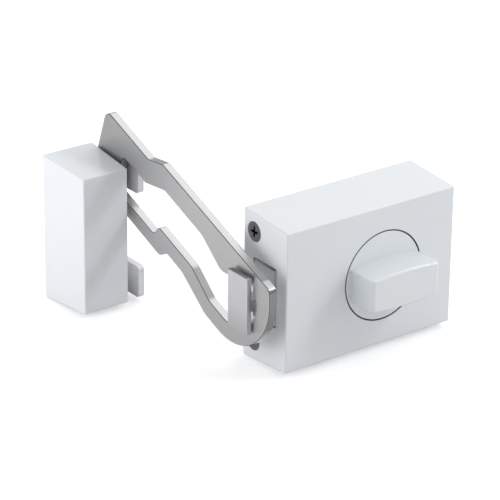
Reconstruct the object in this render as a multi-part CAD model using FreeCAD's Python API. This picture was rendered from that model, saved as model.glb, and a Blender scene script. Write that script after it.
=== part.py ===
import FreeCAD, Part
import math
import os
from FreeCAD import Vector

# Rim lock with a swinging door-limiter bar, in millimetres.
# X runs along the door from the strike to the lock, Y into the door, Z up.
# The origin is on the spindle's axis in the plane where the lock case meets the door.

# Lock case
case_width = 104.0
case_height = 79.0
case_depth = 34.0
backset = 60.0
case_draw = 2.5
case_wall = 2.0
case_edge_r = 0.9
seat_gap = 0.2
plate_t = 2.0
plate_corner_r = 2.0
plate_edge_gap = 0.1
forend_t = 2.5
forend_from_edge = 5.5
forend_step = 0.6
upstand_height = 6.0
upstand_width = 60.0
hook_reach = 1.1
hook_t = 1.5
hook_width = 8.0
hook_offset = 20.0

# Fixing of the case on the door
door_screw_hole_r = 2.7
door_screw_from_bolt_side = 26.0
door_screw_from_far_side = 10.0
door_screw_from_edge = 8.5

# Side screws that hold the cover on its plate
side_screw_head_r = 5.4
side_screw_head_depth = 2.4
side_screw_r = 3.0
side_screw_length = 10.0
side_screw_from_door = 7.7
side_screw_from_edge = 10.4
recess_width = 1.1
recess_length = 5.6
recess_depth = 1.6

# Hook bolt
bolt_height = 30.0
bolt_depth = 17.0
bolt_behind_face = 8.74
bolt_proud = 0.2
bolt_block_length = 28.0
opening_gap = 0.8
opening_corner_r = 1.0
bolt_fit = 0.35
neck_height = 6.0
neck_depth = 8.0
head_depth = 15.6
head_t = 2.6
head_edge_r = 0.35
head_gap = 0.9
bolt_edge_r = 0.6

# Rack plate and pinion
module = 1.0
teeth = 14
pressure_angle = 20.0
pinion_addendum = 0.9
pinion_dedendum = 1.15
rack_addendum = 0.75
rack_dedendum = 1.15
backlash = 0.30
pinion_width = 5.0
rack_plate_t = 4.0
rack_corner_r = 1.5
rack_bar_height = 4.6
rack_tongue = 8.0
tongue_fit = 0.05
throw_out = 8.0
throw_in = 19.0
rack_end_bar = 4.5
window_clearance = 0.7
rivet_r = 2.0
rivet_fit = 0.02
bolt_rivet_z = 8.0

# Spindle, its bushes and the pieces that keep it
spindle_r = 4.0
spindle_square = 5.6
square_depth = 12.0
square_fit = 0.03
spindle_short_of_door = 0.6
tail_slot_width = 2.0
tail_slot_length = 6.6
tail_slot_depth = 6.0
shaft_fit = 0.03
bush_r = 6.0
bush_flange_r = 7.5
bush_flange_t = 1.0
clip_t = 0.8
clip_outer_r = 6.6
clip_groove = 0.6
clip_mouth = 4.5
washer_t = 0.6
washer_r = 7.2
axial_play = 0.1

# Thumb-turn
disc_r = 23.3
disc_gap = 0.7
disc_behind_wall = 0.2
retaining_flange_r = 26.0
retaining_flange_t = 1.5
hub_r = 9.0
grip_length = 42.6
grip_reach = 18.0
grip_end_height = 16.4
grip_middle_height = 19.0
grip_corner_r = 2.6
grip_edge_r = 1.1

# Bridge in front of the bolt, with its pillars
bridge_t = 2.0
bridge_from_bolt = 0.44
bridge_from_far_side = 13.0
bridge_height = 58.0
bridge_corner_r = 3.0
pillar_r = 3.5
pillar_neck_r = 2.0
pillar_z = 25.0
pillar_from_bolt_side = 14.0
pillar_from_far_side = 20.0
pillar_screw_r = 1.5
pillar_screw_head_r = 2.9
pillar_screw_head_t = 1.5
pillar_screw_slot = 1.0
pillar_screw_length = 8.0

# Bolt rail, rack guides and friction spring
inside_gap = 1.0
rail_play = 0.3
rail_length = 30.0
rail_width = 18.0
rail_corner_r = 1.5
rail_rivet_r = 1.75
rail_rivet_head_r = 3.2
rail_rivet_head_t = 1.2
rail_rivet_sink = 0.5
rail_rivet_pitch = 18.0
guide_play = 0.3
guide_length = 22.0
guide_height = 6.0
guide_corner_r = 1.0
guide_in_front = 1.5
guide_centre_x = -3.0
guide_screw_r = 1.5
guide_screw_head_r = 2.8
guide_screw_length = 10.0
guide_screw_head_t = 1.5
spring_t = 0.6
spring_width = 8.0
spring_from_bridge = 2.0
spring_length = 26.0
spring_end = 4.5
spring_play = 0.3
spring_rise = 3.2
spring_tab_t = 2.0
spring_tab_depth = 11.5
spring_rivet_r = 1.2

# Door-limiter bar
bar_t = 4.5
bar_edge_r = 0.4
bar_angle = 21.5
pivot_boss_r = 11.0
heel_room = 1.5
bar_heel_height = 31.0
bar_heel_back = 12.4
bar_heel_r = 5.0
bar_top_height = 37.0
bar_top_step_from = 27.3
bar_top_step_to = 39.0
bar_top_corner = 133.8
bar_top_corner_r = 4.5
bar_reach = 139.2
bar_end_r = 30.7
bar_end_shoulder = 25.0
bar_low_height = 12.6
bar_waist_height = 5.5
bar_low_step_from = 54.0
bar_low_step_to = 59.0
bar_low_step_r = 4.0
bar_ramp_from = 73.0
bar_ramp_to = 96.5
bar_step_r = 2.5
bar_ramp_r = 8.0

# Slot of the bar
slot_start = 9.0
slot_low = 3.4
slot_high = 17.4
slot_corner_r = 2.5
slot_top = 25.0
slot_top_step_from = 30.0
slot_top_step_to = 45.0
slot_top_ramp_from = 79.0
slot_nose = 99.0
slot_nose_height = 18.4
slot_eye_corner = 123.0
slot_eye_height = 30.5
slot_eye_r = 3.0
slot_reach = 129.6
slot_end_r = 21.0
slot_end_shoulder = 21.4
slot_shoulder_r = 10.0
slot_waist = 3.2
slot_low_step_from = 46.0
slot_low_step_to = 48.0
slot_low_ramp_from = 78.5
slot_low_ramp_to = 97.0
slot_step_r = 3.0

# Where the strike stands when the lock hangs on the bar
door_open_gap = 111.8
flange_from_lock = 4.7
bar_play = 0.9
strike_play = 0.6

# Strike box and its bracket
strike_width = 30.0
strike_height = 79.0
strike_depth = 34.2
strike_draw_x = 1.8
strike_draw_z = 2.5
strike_wall = 1.6
strike_edge_r = 0.8
flange_t = 3.4
flange_from_edge = 1.8
flange_reach = 32.2
flange_opening = 40.6
flange_web = 7.0
flange_corner_r = 2.0
mouth_gap = 1.5
cheek_t = 3.0
cheek_from_flange = 2.5
cheek_gap = 0.4
cheek_reach = 28.0
frame_screw_hole_r = 2.7
frame_screw_pitch_x = 10.0
frame_screw_pitch_z = 54.0
strike_screw_r = 2.0
strike_screw_head_r = 3.8
strike_screw_head_t = 0.9
strike_screw_seat = 0.05
strike_screw_length = 7.0
strike_screw_z = 33.0
strike_screw_from_frame = 24.0

# Bar pivot
pivot_from_frame = 12.1
pivot_below_top = 11.9
pivot_r = 4.0
pivot_head_r = 7.0
pivot_head_t = 1.5
pivot_tail = 2.4
pivot_bush_r = 5.5
spacer_r = 6.0
spacer_hole_gap = 0.6
pivot_washer_r = 8.0
pivot_side_play = 0.15
circlip_t = 1.0
circlip_outer_r = 6.8
circlip_groove = 0.7
circlip_mouth = 4.6

# Places that follow from the sizes above
lock_side = -backset
side_screw_z = case_height / 2 - side_screw_from_edge
door_screw_z = case_height / 2 - door_screw_from_edge
far_side = case_width - backset
bridge_end = far_side - bridge_from_far_side
lock_face = -case_depth
bolt_front = lock_face + bolt_behind_face
bolt_back = bolt_front + bolt_depth
bolt_mid = (bolt_front + bolt_back) / 2
block_face = lock_side - bolt_proud
block_rear = block_face + bolt_block_length
pitch_r = module * teeth / 2
pinion_tip_r = pitch_r + pinion_addendum * module
window_top = pinion_tip_r + window_clearance
rack_half = pitch_r + rack_dedendum * module + rack_bar_height
window_start = -throw_in - pinion_tip_r - window_clearance
window_end = throw_out + pinion_tip_r + window_clearance
rack_end = window_end + rack_end_bar
forend_face = lock_side + case_wall + seat_gap
forend_inner = forend_face + forend_t
plate_end = far_side - case_wall - seat_gap
plate_half = case_height / 2 - case_wall - seat_gap - plate_edge_gap
forend_half = case_height / 2 - forend_from_edge
bridge_back = bolt_front - bridge_from_bolt
bridge_front = bridge_back - bridge_t
bush_flange_front = bridge_front - bush_flange_t
washer_back = bush_flange_front - axial_play
hub_back = washer_back - washer_t - axial_play
knob_flange_front = lock_face + case_wall + disc_behind_wall
knob_flange_back = knob_flange_front + retaining_flange_t
flange_face = lock_side - flange_from_lock
flange_inner = flange_face - flange_t
bar_far = flange_inner - bar_play
bar_near = bar_far - bar_t
strike_side = bar_near - strike_play
strike_end = strike_side - strike_width
strike_middle = (strike_side + strike_end) / 2
frame_face = door_open_gap
flange_half = strike_height / 2 - flange_from_edge
strike_face = frame_face - strike_depth
cheek_face = strike_side - strike_draw_x - strike_wall - cheek_gap
cheek_inner = cheek_face - cheek_t
pivot_y = frame_face - pivot_from_frame
pivot_z = strike_height / 2 - pivot_below_top
head_inner = bar_near - head_gap


def box(x0, x1, y0, y1, z0, z1):
    """A block between two corners."""
    return Part.makeBox(x1 - x0, y1 - y0, z1 - z0, Vector(x0, y0, z0))


def rod_y(x, z, r, y0, y1):
    """A round bar along Y."""
    return Part.makeCylinder(r, y1 - y0, Vector(x, y0, z), Vector(0, 1, 0))


def rod_x(y, z, r, x0, x1):
    """A round bar along X."""
    return Part.makeCylinder(r, x1 - x0, Vector(x0, y, z), Vector(1, 0, 0))


def cone_x(y, z, r0, r1, x0, x1):
    """A cone along X, of radius r0 at x0 and r1 at x1."""
    return Part.makeCone(r0, r1, x1 - x0, Vector(x0, y, z), Vector(1, 0, 0))


def cone_y(x, z, r0, r1, y0, y1):
    """A cone along Y, of radius r0 at y0 and r1 at y1."""
    return Part.makeCone(r0, r1, y1 - y0, Vector(x, y0, z), Vector(0, 1, 0))


def rounded_outline(corners, place):
    """A closed outline whose corners (a, b, radius) are turned by arcs, mapped by place(a, b)."""
    turns = []
    for number, (a, b, radius) in enumerate(corners):
        here = Vector(a, b, 0)
        last = corners[number - 1]
        following = corners[(number + 1) % len(corners)]
        back = (Vector(last[0], last[1], 0) - here).normalize()
        ahead = (Vector(following[0], following[1], 0) - here).normalize()
        half = back.getAngle(ahead) / 2
        reach = radius / math.tan(half)
        middle = (back + ahead).normalize() * (radius / math.sin(half) - radius)
        turns.append((here + back * reach, here + middle, here + ahead * reach, radius))
    edges = []
    for number, (start, middle, end, radius) in enumerate(turns):
        last_end = turns[number - 1][2]
        if last_end.distanceToPoint(start) > 0.001:
            edges.append(Part.makeLine(place(last_end.x, last_end.y), place(start.x, start.y)))
        if radius > 0:
            arc = Part.Arc(place(start.x, start.y), place(middle.x, middle.y), place(end.x, end.y))
            edges.append(arc.toShape())
    return Part.Wire(edges)


def rectangle(a0, a1, b0, b1, radius):
    """The corners of a rectangle, all turned by one radius."""
    return [(a0, b0, radius), (a1, b0, radius), (a1, b1, radius), (a0, b1, radius)]


def plate_y(corners, y0, y1):
    """A plate whose outline lies in X and Z, from y0 to y1."""
    wire = rounded_outline(corners, lambda a, b: Vector(a, y0, b))
    return Part.Face(wire).extrude(Vector(0, y1 - y0, 0))


def plate_x(corners, x0, x1):
    """A plate whose outline lies in Y and Z, from x0 to x1."""
    wire = rounded_outline(corners, lambda a, b: Vector(x0, a, b))
    return Part.Face(wire).extrude(Vector(x1 - x0, 0, 0))


def edges_where(shape, test):
    """The edges whose middle point passes a test."""
    return [edge for edge in shape.Edges if test(edge.CenterOfMass, edge)]


def hollow_ring(axis_rod, bore_rod):
    """A ring: one round bar with a smaller one taken out."""
    return axis_rod.cut(bore_rod)


def cross_recess(x, y, z, inward):
    """The cross in a screw head that faces along X, sunk inward from x."""
    low, high = min(x, x + inward), max(x, x + inward)
    arm = recess_length / 2
    half = recess_width / 2
    upright = box(low, high, y - half, y + half, z - arm, z + arm)
    level = box(low, high, y - arm, y + arm, z - half, z + half)
    return upright.fuse(level)


def save(name, shape):
    """Write one named piece, or one group of like pieces."""
    shape.exportStep(os.path.join("parts", name + ".step"))


# Lock case

def case_profile(inset, back, front):
    """The case's side outline from its back to its front, taken in by a wall."""
    slope = case_draw / case_depth
    half_back = case_height / 2 - inset + slope * back
    half_front = case_height / 2 - inset + slope * front
    return [(back, -half_back, 0), (front, -half_front, 0), (front, half_front, 0), (back, half_back, 0)]


def side_screw_places():
    """The two side screws' centres, above and below the bolt."""
    return [(-side_screw_from_door, side) for side in (side_screw_z, -side_screw_z)]


def side_screw_hole(y, z, play):
    """The countersunk hole of a side screw, larger by a play."""
    head = cone_x(y, z, side_screw_head_r + play, side_screw_r + play,
                  lock_side, lock_side + side_screw_head_depth)
    return head.fuse(rod_x(y, z, side_screw_r + play, lock_side, lock_side + side_screw_length + 1))


def lock_cover():
    outside = plate_x(case_profile(0, 0, lock_face), lock_side, far_side)
    sharp = edges_where(outside, lambda middle, edge: middle.y < -0.01)
    outside = outside.makeFillet(case_edge_r, sharp)
    inside = plate_x(case_profile(case_wall, 1, lock_face + case_wall),
                     lock_side + case_wall, far_side - case_wall)
    cover = outside.cut(inside)
    cover = cover.cut(rod_y(0, 0, disc_r + disc_gap, lock_face - 1, lock_face + case_wall + 1))
    half = bolt_height / 2 + opening_gap
    mouth = rectangle(bolt_front - opening_gap, bolt_back + opening_gap, -half, half, opening_corner_r)
    cover = cover.cut(plate_x(mouth, lock_side - 1, lock_side + case_wall + 1))
    for y, z in side_screw_places():
        cover = cover.cut(side_screw_hole(y, z, 0.05))
    for side in (1, -1):
        cover = cover.cut(hook(side, 0.1))
    return cover


def hook(side, play):
    """A tongue of the base plate that goes into the cover's far wall, above or below."""
    middle = side * hook_offset
    half = hook_width / 2 + play
    y = -plate_t - upstand_height / 2
    return box(plate_end - 0.5, plate_end + seat_gap + hook_reach + play,
               y - hook_t / 2 - play, y + hook_t / 2 + play, middle - half, middle + half)


def door_screw_places():
    """The four holes through which the case is screwed to the door."""
    return [(x, side * door_screw_z)
            for x in (lock_side + door_screw_from_bolt_side, far_side - door_screw_from_far_side)
            for side in (-1, 1)]


def pillar_places():
    """The four pillars' centres."""
    return [(x, side * pillar_z)
            for x in (lock_side + pillar_from_bolt_side, far_side - pillar_from_far_side)
            for side in (-1, 1)]


def guide_places():
    """The two rack guides' centres, above and below the rack plate."""
    return [(guide_centre_x, side * (rack_half + guide_play + guide_height / 2)) for side in (-1, 1)]


def rail_rivet_places():
    """The two rivets of the bolt rail."""
    middle = forend_inner + inside_gap + rail_length / 2
    return [middle - rail_rivet_pitch / 2, middle + rail_rivet_pitch / 2]


def lock_base_plate():
    back = plate_y(rectangle(forend_face, plate_end, -plate_half, plate_half, plate_corner_r), -plate_t, 0)
    forend_front = bridge_front - forend_step
    forend = plate_x(rectangle(forend_front, 0, -forend_half, forend_half, 0), forend_face, forend_inner)
    upstand_top = -plate_t - upstand_height
    upstand = box(plate_end - plate_t, plate_end, upstand_top, 0, -upstand_width / 2, upstand_width / 2)
    plate = back.fuse(forend).fuse(upstand)
    for side in (1, -1):
        plate = plate.fuse(hook(side, 0))
    plate = plate.removeSplitter()
    window_half = bolt_height / 2 + bolt_fit
    window = box(forend_face - 1, forend_inner + 1, bolt_front - bolt_fit, bolt_back + bolt_fit,
                 -window_half, window_half)
    plate = plate.cut(window)
    for y, z in side_screw_places():
        plate = plate.cut(side_screw_hole(y, z, 0.02))
    for x, z in door_screw_places():
        plate = plate.cut(rod_y(x, z, door_screw_hole_r, -plate_t - 1, 1))
    for x, z in pillar_places():
        plate = plate.cut(rod_y(x, z, pillar_neck_r, -plate_t - 1, 1))
    for x, z in guide_places():
        plate = plate.cut(guide_screw(x, z, 0.02))
    for x in rail_rivet_places():
        plate = plate.cut(rod_y(x, 0, rail_rivet_r + rivet_fit, -plate_t - 1, 1))
    return plate.cut(rod_y(0, 0, bush_r + rivet_fit, -plate_t - 1, 1))


def cover_screws():
    screws = []
    for y, z in side_screw_places():
        head = cone_x(y, z, side_screw_head_r, side_screw_r, lock_side, lock_side + side_screw_head_depth)
        screw = head.fuse(rod_x(y, z, side_screw_r, lock_side, lock_side + side_screw_length))
        screws.append(screw.cut(cross_recess(lock_side - 0.1, y, z, recess_depth + 0.1)))
    return Part.makeCompound(screws)


# Pieces inside the case

def bridge_tab():
    """The ledge of the bridge that carries the friction spring, over the bolt."""
    low = bolt_height / 2 + spring_play + spring_t + spring_rise
    middle = forend_inner + inside_gap + spring_length / 2
    return box(middle - spring_length / 2, middle + spring_length / 2,
               bridge_back - 0.5, bridge_back + spring_tab_depth, low, low + spring_tab_t)


def front_bridge():
    half = bridge_height / 2
    bridge = plate_y(rectangle(forend_inner + seat_gap, bridge_end, -half, half, bridge_corner_r),
                     bridge_front, bridge_back)
    bridge = bridge.fuse(bridge_tab()).removeSplitter()
    bridge = bridge.cut(rod_y(0, 0, bush_r + rivet_fit, bridge_front - 1, bridge_back + 1))
    for x, z in pillar_places():
        bridge = bridge.cut(rod_y(x, z, pillar_screw_r + 0.1, bridge_front - 1, bridge_back + 1))
    x, y = spring_rivet_place()
    hole = Part.makeCylinder(spring_rivet_r + rivet_fit, 3 * spring_tab_t,
                             Vector(x, y, spring_top() - spring_tab_t), Vector(0, 0, 1))
    return bridge.cut(hole)


def bridge_pillars():
    pillars = []
    for x, z in pillar_places():
        pillar = rod_y(x, z, pillar_r, bridge_back, -plate_t)
        pillar = pillar.fuse(rod_y(x, z, pillar_neck_r - rivet_fit, -plate_t, 0))
        bore = rod_y(x, z, pillar_screw_r + rivet_fit, bridge_back - 1, bridge_back + pillar_screw_length)
        pillars.append(pillar.cut(bore))
    return Part.makeCompound(pillars)


def bridge_screws():
    screws = []
    for x, z in pillar_places():
        shank_end = bridge_front + pillar_screw_length
        head = rod_y(x, z, pillar_screw_head_r, bridge_front - pillar_screw_head_t, bridge_front)
        head = head.cut(box(x - pillar_screw_slot / 2, x + pillar_screw_slot / 2,
                            bridge_front - pillar_screw_head_t - 1,
                            bridge_front - pillar_screw_head_t / 2,
                            z - pillar_screw_head_r, z + pillar_screw_head_r))
        screws.append(head.fuse(rod_y(x, z, pillar_screw_r, bridge_front, shank_end)))
    return Part.makeCompound(screws)


def flanged_bush(flange_front, flange_back, body_end):
    """A flanged bush round the spindle, its body on either side of the flange."""
    front = min(flange_front, body_end)
    back = max(flange_back, body_end)
    flange = rod_y(0, 0, bush_flange_r, flange_front, flange_back)
    body = rod_y(0, 0, bush_r, front, back)
    bore = rod_y(0, 0, spindle_r + shaft_fit, front - 1, back + 1)
    return flange.fuse(body).cut(bore)


def bolt_rail():
    start = forend_inner + inside_gap
    half = rail_width / 2
    rail = plate_y(rectangle(start, start + rail_length, -half, half, rail_corner_r),
                   bolt_back + rail_play, -plate_t)
    face = bolt_back + rail_play
    for x in rail_rivet_places():
        rail = rail.cut(rod_y(x, 0, rail_rivet_r + rivet_fit, face - 1, 1))
        sink = rail_rivet_sink + rail_rivet_head_t
        rail = rail.cut(rod_y(x, 0, rail_rivet_head_r + 0.1, face - 1, face + sink))
    return rail


def rail_rivets():
    rivets = []
    top = bolt_back + rail_play + rail_rivet_sink
    for x in rail_rivet_places():
        head = rod_y(x, 0, rail_rivet_head_r, top, top + rail_rivet_head_t)
        rivets.append(head.fuse(rod_y(x, 0, rail_rivet_r, top, 0)))
    return Part.makeCompound(rivets)


def guide_screw(x, z, play):
    """A countersunk screw from the back of the base plate into a rack guide."""
    cone = cone_y(x, z, guide_screw_r + play, guide_screw_head_r + play, -guide_screw_head_t, 0)
    return cone.fuse(rod_y(x, z, guide_screw_r + play, -guide_screw_length, 0))


def rack_guides():
    guides = []
    front = bolt_mid - rack_plate_t / 2 - guide_in_front
    for x, z in guide_places():
        corners = rectangle(x - guide_length / 2, x + guide_length / 2,
                            z - guide_height / 2, z + guide_height / 2, guide_corner_r)
        guides.append(plate_y(corners, front, -plate_t).cut(guide_screw(x, z, 0.02)))
    return Part.makeCompound(guides)


def guide_screws():
    return Part.makeCompound([guide_screw(x, z, 0) for x, z in guide_places()])


def spring_top():
    """The underside of the bridge's ledge, where the friction spring is held."""
    return bolt_height / 2 + spring_play + spring_t + spring_rise


def spring_rivet_place():
    """The friction spring's rivet, at the middle of its forend end."""
    return forend_inner + inside_gap + spring_end / 2, bridge_back + spring_from_bridge + spring_width / 2


def friction_spring():
    """A bowed leaf under the ledge, its crown just over the bolt."""
    start = forend_inner + inside_gap
    end = start + spring_length
    middle = (start + end) / 2
    top = spring_top()
    crown = top - spring_rise
    y = bridge_back + spring_from_bridge

    def leaf(level, rise):
        near = Vector(start + spring_end, y, level)
        far = Vector(end - spring_end, y, level)
        return near, Vector(middle, y, level - rise), far

    upper = leaf(top, spring_rise)
    lower = leaf(top - spring_t, spring_rise)
    first = Vector(start, y, top)
    last = Vector(end, y, top)
    first_low = Vector(start, y, top - spring_t)
    last_low = Vector(end, y, top - spring_t)
    wire = Part.Wire([Part.makeLine(first, upper[0]), Part.Arc(*upper).toShape(),
                      Part.makeLine(upper[2], last), Part.makeLine(last, last_low),
                      Part.makeLine(last_low, lower[2]), Part.Arc(lower[2], lower[1], lower[0]).toShape(),
                      Part.makeLine(lower[0], first_low), Part.makeLine(first_low, first)])
    strip = Part.Face(wire).extrude(Vector(0, spring_width, 0))
    x, rivet_y = spring_rivet_place()
    hole = Part.makeCylinder(spring_rivet_r + rivet_fit, 4 * spring_t,
                             Vector(x, rivet_y, top - 2 * spring_t), Vector(0, 0, 1))
    return strip.cut(hole)


def spring_rivet():
    x, y = spring_rivet_place()
    top = spring_top()
    shank = Part.makeCylinder(spring_rivet_r, spring_t + spring_tab_t, Vector(x, y, top - spring_t),
                              Vector(0, 0, 1))
    heads = [Part.makeCylinder(1.7 * spring_rivet_r, 0.7, Vector(x, y, top - spring_t - 0.7)),
             Part.makeCylinder(1.7 * spring_rivet_r, 0.7, Vector(x, y, top + spring_tab_t))]
    return shank.fuse(heads)


# Thumb-turn and spindle

def thumb_turn():
    disc = rod_y(0, 0, disc_r, lock_face, knob_flange_front)
    disc = disc.makeFillet(0.4, edges_where(disc, lambda middle, edge: edge.Vertexes[0].Y < lock_face + 0.01
                                            and edge.Curve.TypeId == "Part::GeomCircle"))
    flange = rod_y(0, 0, retaining_flange_r, knob_flange_front, knob_flange_back)
    hub = rod_y(0, 0, hub_r, knob_flange_front, hub_back)
    reach = lock_face - grip_reach
    half = grip_length / 2
    end_half = grip_end_height / 2
    middle_half = grip_middle_height / 2
    corners = [Vector(-half, reach, -end_half), Vector(half, reach, -end_half),
               Vector(half, reach, end_half), Vector(-half, reach, end_half)]
    lower = Part.Arc(corners[0], Vector(0, reach, -middle_half), corners[1]).toShape()
    upper = Part.Arc(corners[2], Vector(0, reach, middle_half), corners[3]).toShape()
    wire = Part.Wire([lower, Part.makeLine(corners[1], corners[2]), upper,
                      Part.makeLine(corners[3], corners[0])])
    grip = Part.Face(wire).extrude(Vector(0, grip_reach + 1.0, 0))
    grip = grip.makeFillet(grip_corner_r, edges_where(
        grip, lambda middle, edge: middle.y < lock_face and abs(middle.z) < 0.01))
    grip = grip.makeFillet(grip_edge_r, edges_where(
        grip, lambda middle, edge: middle.y < lock_face and abs(middle.z) > end_half - 0.01))
    knob = disc.fuse([flange, hub, grip]).removeSplitter()
    half_square = spindle_square / 2 + square_fit
    socket = box(-half_square, half_square, hub_back - square_depth, hub_back + 1,
                 -half_square, half_square)
    return knob.cut(socket)


def clip_groove_front():
    """Where the spindle's clip begins, behind the front bush."""
    return bridge_back + axial_play


def spindle():
    rear = -spindle_short_of_door
    shaft = rod_y(0, 0, spindle_r, hub_back, rear)
    half = spindle_square / 2
    square = box(-half, half, hub_back - square_depth + 0.3, hub_back + 1, -half, half)
    groove_y = clip_groove_front()
    groove = hollow_ring(rod_y(0, 0, spindle_r + 1, groove_y, groove_y + clip_t),
                         rod_y(0, 0, spindle_r - clip_groove, groove_y - 1, groove_y + clip_t + 1))
    slot = box(-tail_slot_width / 2, tail_slot_width / 2, rear - tail_slot_depth, rear + 1,
               -tail_slot_length / 2, tail_slot_length / 2)
    return shaft.fuse(square).cut(groove).cut(slot)


def open_clip(ring, opening):
    """A retaining ring with its mouth cut out."""
    return ring.cut(opening)


def retaining_clip():
    y = clip_groove_front()
    ring = hollow_ring(rod_y(0, 0, clip_outer_r, y, y + clip_t),
                       rod_y(0, 0, spindle_r - clip_groove + 0.03, y - 1, y + clip_t + 1))
    mouth = box(-clip_mouth / 2, clip_mouth / 2, y - 1, y + clip_t + 1, 0, clip_outer_r + 1)
    return open_clip(ring, mouth)


def knob_washer():
    front = hub_back + axial_play
    return hollow_ring(rod_y(0, 0, washer_r, front, front + washer_t),
                       rod_y(0, 0, spindle_r + 0.2, front - 1, front + washer_t + 1))


def involute(base_r, radius, turn):
    """A point at a radius on the involute of a base circle, turned by an angle."""
    roll = math.sqrt(max((radius / base_r) ** 2 - 1, 0))
    angle = turn + roll - math.atan(roll)
    return radius * math.cos(angle), radius * math.sin(angle)


def pinion():
    """A spur pinion of involute teeth, with a gap of the pinion over the rack's middle tooth."""
    flank = math.radians(pressure_angle)
    base_r = pitch_r * math.cos(flank)
    root_r = pitch_r - pinion_dedendum * module
    half_tooth = math.pi / (2 * teeth) - backlash / (4 * pitch_r)
    half_base = half_tooth + math.tan(flank) - flank
    body = rod_y(0, 0, root_r, bolt_mid - pinion_width / 2, bolt_mid + pinion_width / 2)
    front = bolt_mid - pinion_width / 2

    def point(radius, side, aim):
        along, across = involute(base_r, radius, -half_base)
        across = across * -side
        return Vector(along * math.cos(aim) - across * math.sin(aim), front,
                      along * math.sin(aim) + across * math.cos(aim))

    solids = []
    for number in range(teeth):
        aim = -math.pi / 2 + (number + 0.5) * 2 * math.pi / teeth
        mean_r = (base_r + pinion_tip_r) / 2
        foot = [Vector((root_r - 0.4) * math.cos(aim + side * half_base),
                       front, (root_r - 0.4) * math.sin(aim + side * half_base)) for side in (-1, 1)]
        low = [point(base_r, side, aim) for side in (-1, 1)]
        mid = [point(mean_r, side, aim) for side in (-1, 1)]
        tip = [point(pinion_tip_r, side, aim) for side in (-1, 1)]
        wire = Part.Wire([Part.makeLine(foot[0], low[0]), Part.Arc(low[0], mid[0], tip[0]).toShape(),
                          Part.makeLine(tip[0], tip[1]), Part.Arc(tip[1], mid[1], low[1]).toShape(),
                          Part.makeLine(low[1], foot[1]), Part.makeLine(foot[1], foot[0])])
        solids.append(Part.Face(wire).extrude(Vector(0, pinion_width, 0)))
    gear = body.fuse(solids).removeSplitter()
    return gear.cut(rod_y(0, 0, spindle_r + rivet_fit, front - 1, front + pinion_width + 1))


# Bolt

def bolt_rivet_x():
    """Where the bolt's rivets cross the tongue of the rack plate."""
    return block_rear - rack_tongue / 2


def hook_bolt():
    half = bolt_height / 2
    block = box(block_face, block_rear, bolt_front, bolt_back, -half, half)
    block = block.makeChamfer(bolt_edge_r, edges_where(
        block, lambda middle, edge: abs(middle.x - block_face) < 0.01))
    neck = box(head_inner - 0.5, block_face + 1, bolt_front, bolt_front + neck_depth,
               -neck_height / 2, neck_height / 2)
    head = box(head_inner - head_t, head_inner, bolt_front, bolt_front + head_depth, -half, half)
    outer = edges_where(head, lambda middle, edge: middle.x < head_inner - head_t / 3)
    head = head.makeFillet(head_edge_r, outer)
    bolt = block.fuse([neck, head]).removeSplitter()
    slot_half = rack_plate_t / 2 + tongue_fit
    bolt = bolt.cut(box(block_rear - rack_tongue - tongue_fit, block_rear + 1,
                        bolt_mid - slot_half, bolt_mid + slot_half, -half - 1, half + 1))
    for side in (-1, 1):
        bolt = bolt.cut(rod_y(bolt_rivet_x(), side * bolt_rivet_z, rivet_r + rivet_fit,
                              bolt_front - 1, bolt_back + 1))
    return bolt


def rack_plate():
    """The bolt's tail: a plate with a window, its lower edge cut as a rack."""
    front = bolt_mid - rack_plate_t / 2
    back = bolt_mid + rack_plate_t / 2
    plate = plate_y(rectangle(block_rear - rack_tongue, rack_end, -rack_half, rack_half, rack_corner_r),
                    front, back)
    tip_z = -pitch_r + rack_addendum * module
    window = box(window_start, window_end, front - 1, back + 1, tip_z, window_top)
    plate = plate.cut(window)
    pitch = math.pi * module
    lean = math.tan(math.radians(pressure_angle))
    depth = (rack_addendum + rack_dedendum) * module
    gap_at_pitch = pitch / 2 + backlash / 2
    gap_top = gap_at_pitch + 2 * rack_addendum * module * lean
    gap_foot = gap_top - 2 * depth * lean
    first = math.ceil((window_start + gap_top / 2) / pitch - 0.5)
    last = math.floor((window_end - gap_top / 2) / pitch - 0.5)
    gaps = []
    for number in range(first, last + 1):
        x = (number + 0.5) * pitch
        outline = [(x - gap_top / 2, tip_z + 0.01, 0), (x + gap_top / 2, tip_z + 0.01, 0),
                   (x + gap_foot / 2, tip_z - depth, 0), (x - gap_foot / 2, tip_z - depth, 0)]
        gaps.append(plate_y(outline, front - 1, back + 1))
    plate = plate.cut(gaps)
    for side in (-1, 1):
        plate = plate.cut(rod_y(bolt_rivet_x(), side * bolt_rivet_z, rivet_r + rivet_fit,
                                front - 1, back + 1))
    return plate


def bolt_rivets():
    return Part.makeCompound([rod_y(bolt_rivet_x(), side * bolt_rivet_z, rivet_r, bolt_front, bolt_back)
                              for side in (-1, 1)])


# Strike

def strike_frustum(inset, back, front):
    """The strike box's form between two depths, taken in by a wall."""
    faces = []
    for y in (back, front):
        share = (frame_face - y) / strike_depth
        half_x = strike_width / 2 - strike_draw_x * share - inset
        half_z = strike_height / 2 - strike_draw_z * share - inset
        corners = [Vector(strike_middle + i * half_x, y, j * half_z)
                   for i, j in ((-1, -1), (1, -1), (1, 1), (-1, 1), (-1, -1))]
        faces.append(Part.makePolygon(corners))
    return Part.makeLoft(faces, True, True)


def bolt_passage(gap, x0, x1):
    """The way of the bolt through the strike when the door is closed."""
    half = bolt_height / 2 + gap
    shift = door_open_gap
    return box(x0, x1, bolt_front + shift - gap, bolt_back + shift + gap, -half, half)


def strike_screw_places():
    """The two screws of the strike's cover."""
    return [(frame_face - strike_screw_from_frame, side * strike_screw_z) for side in (-1, 1)]


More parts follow.
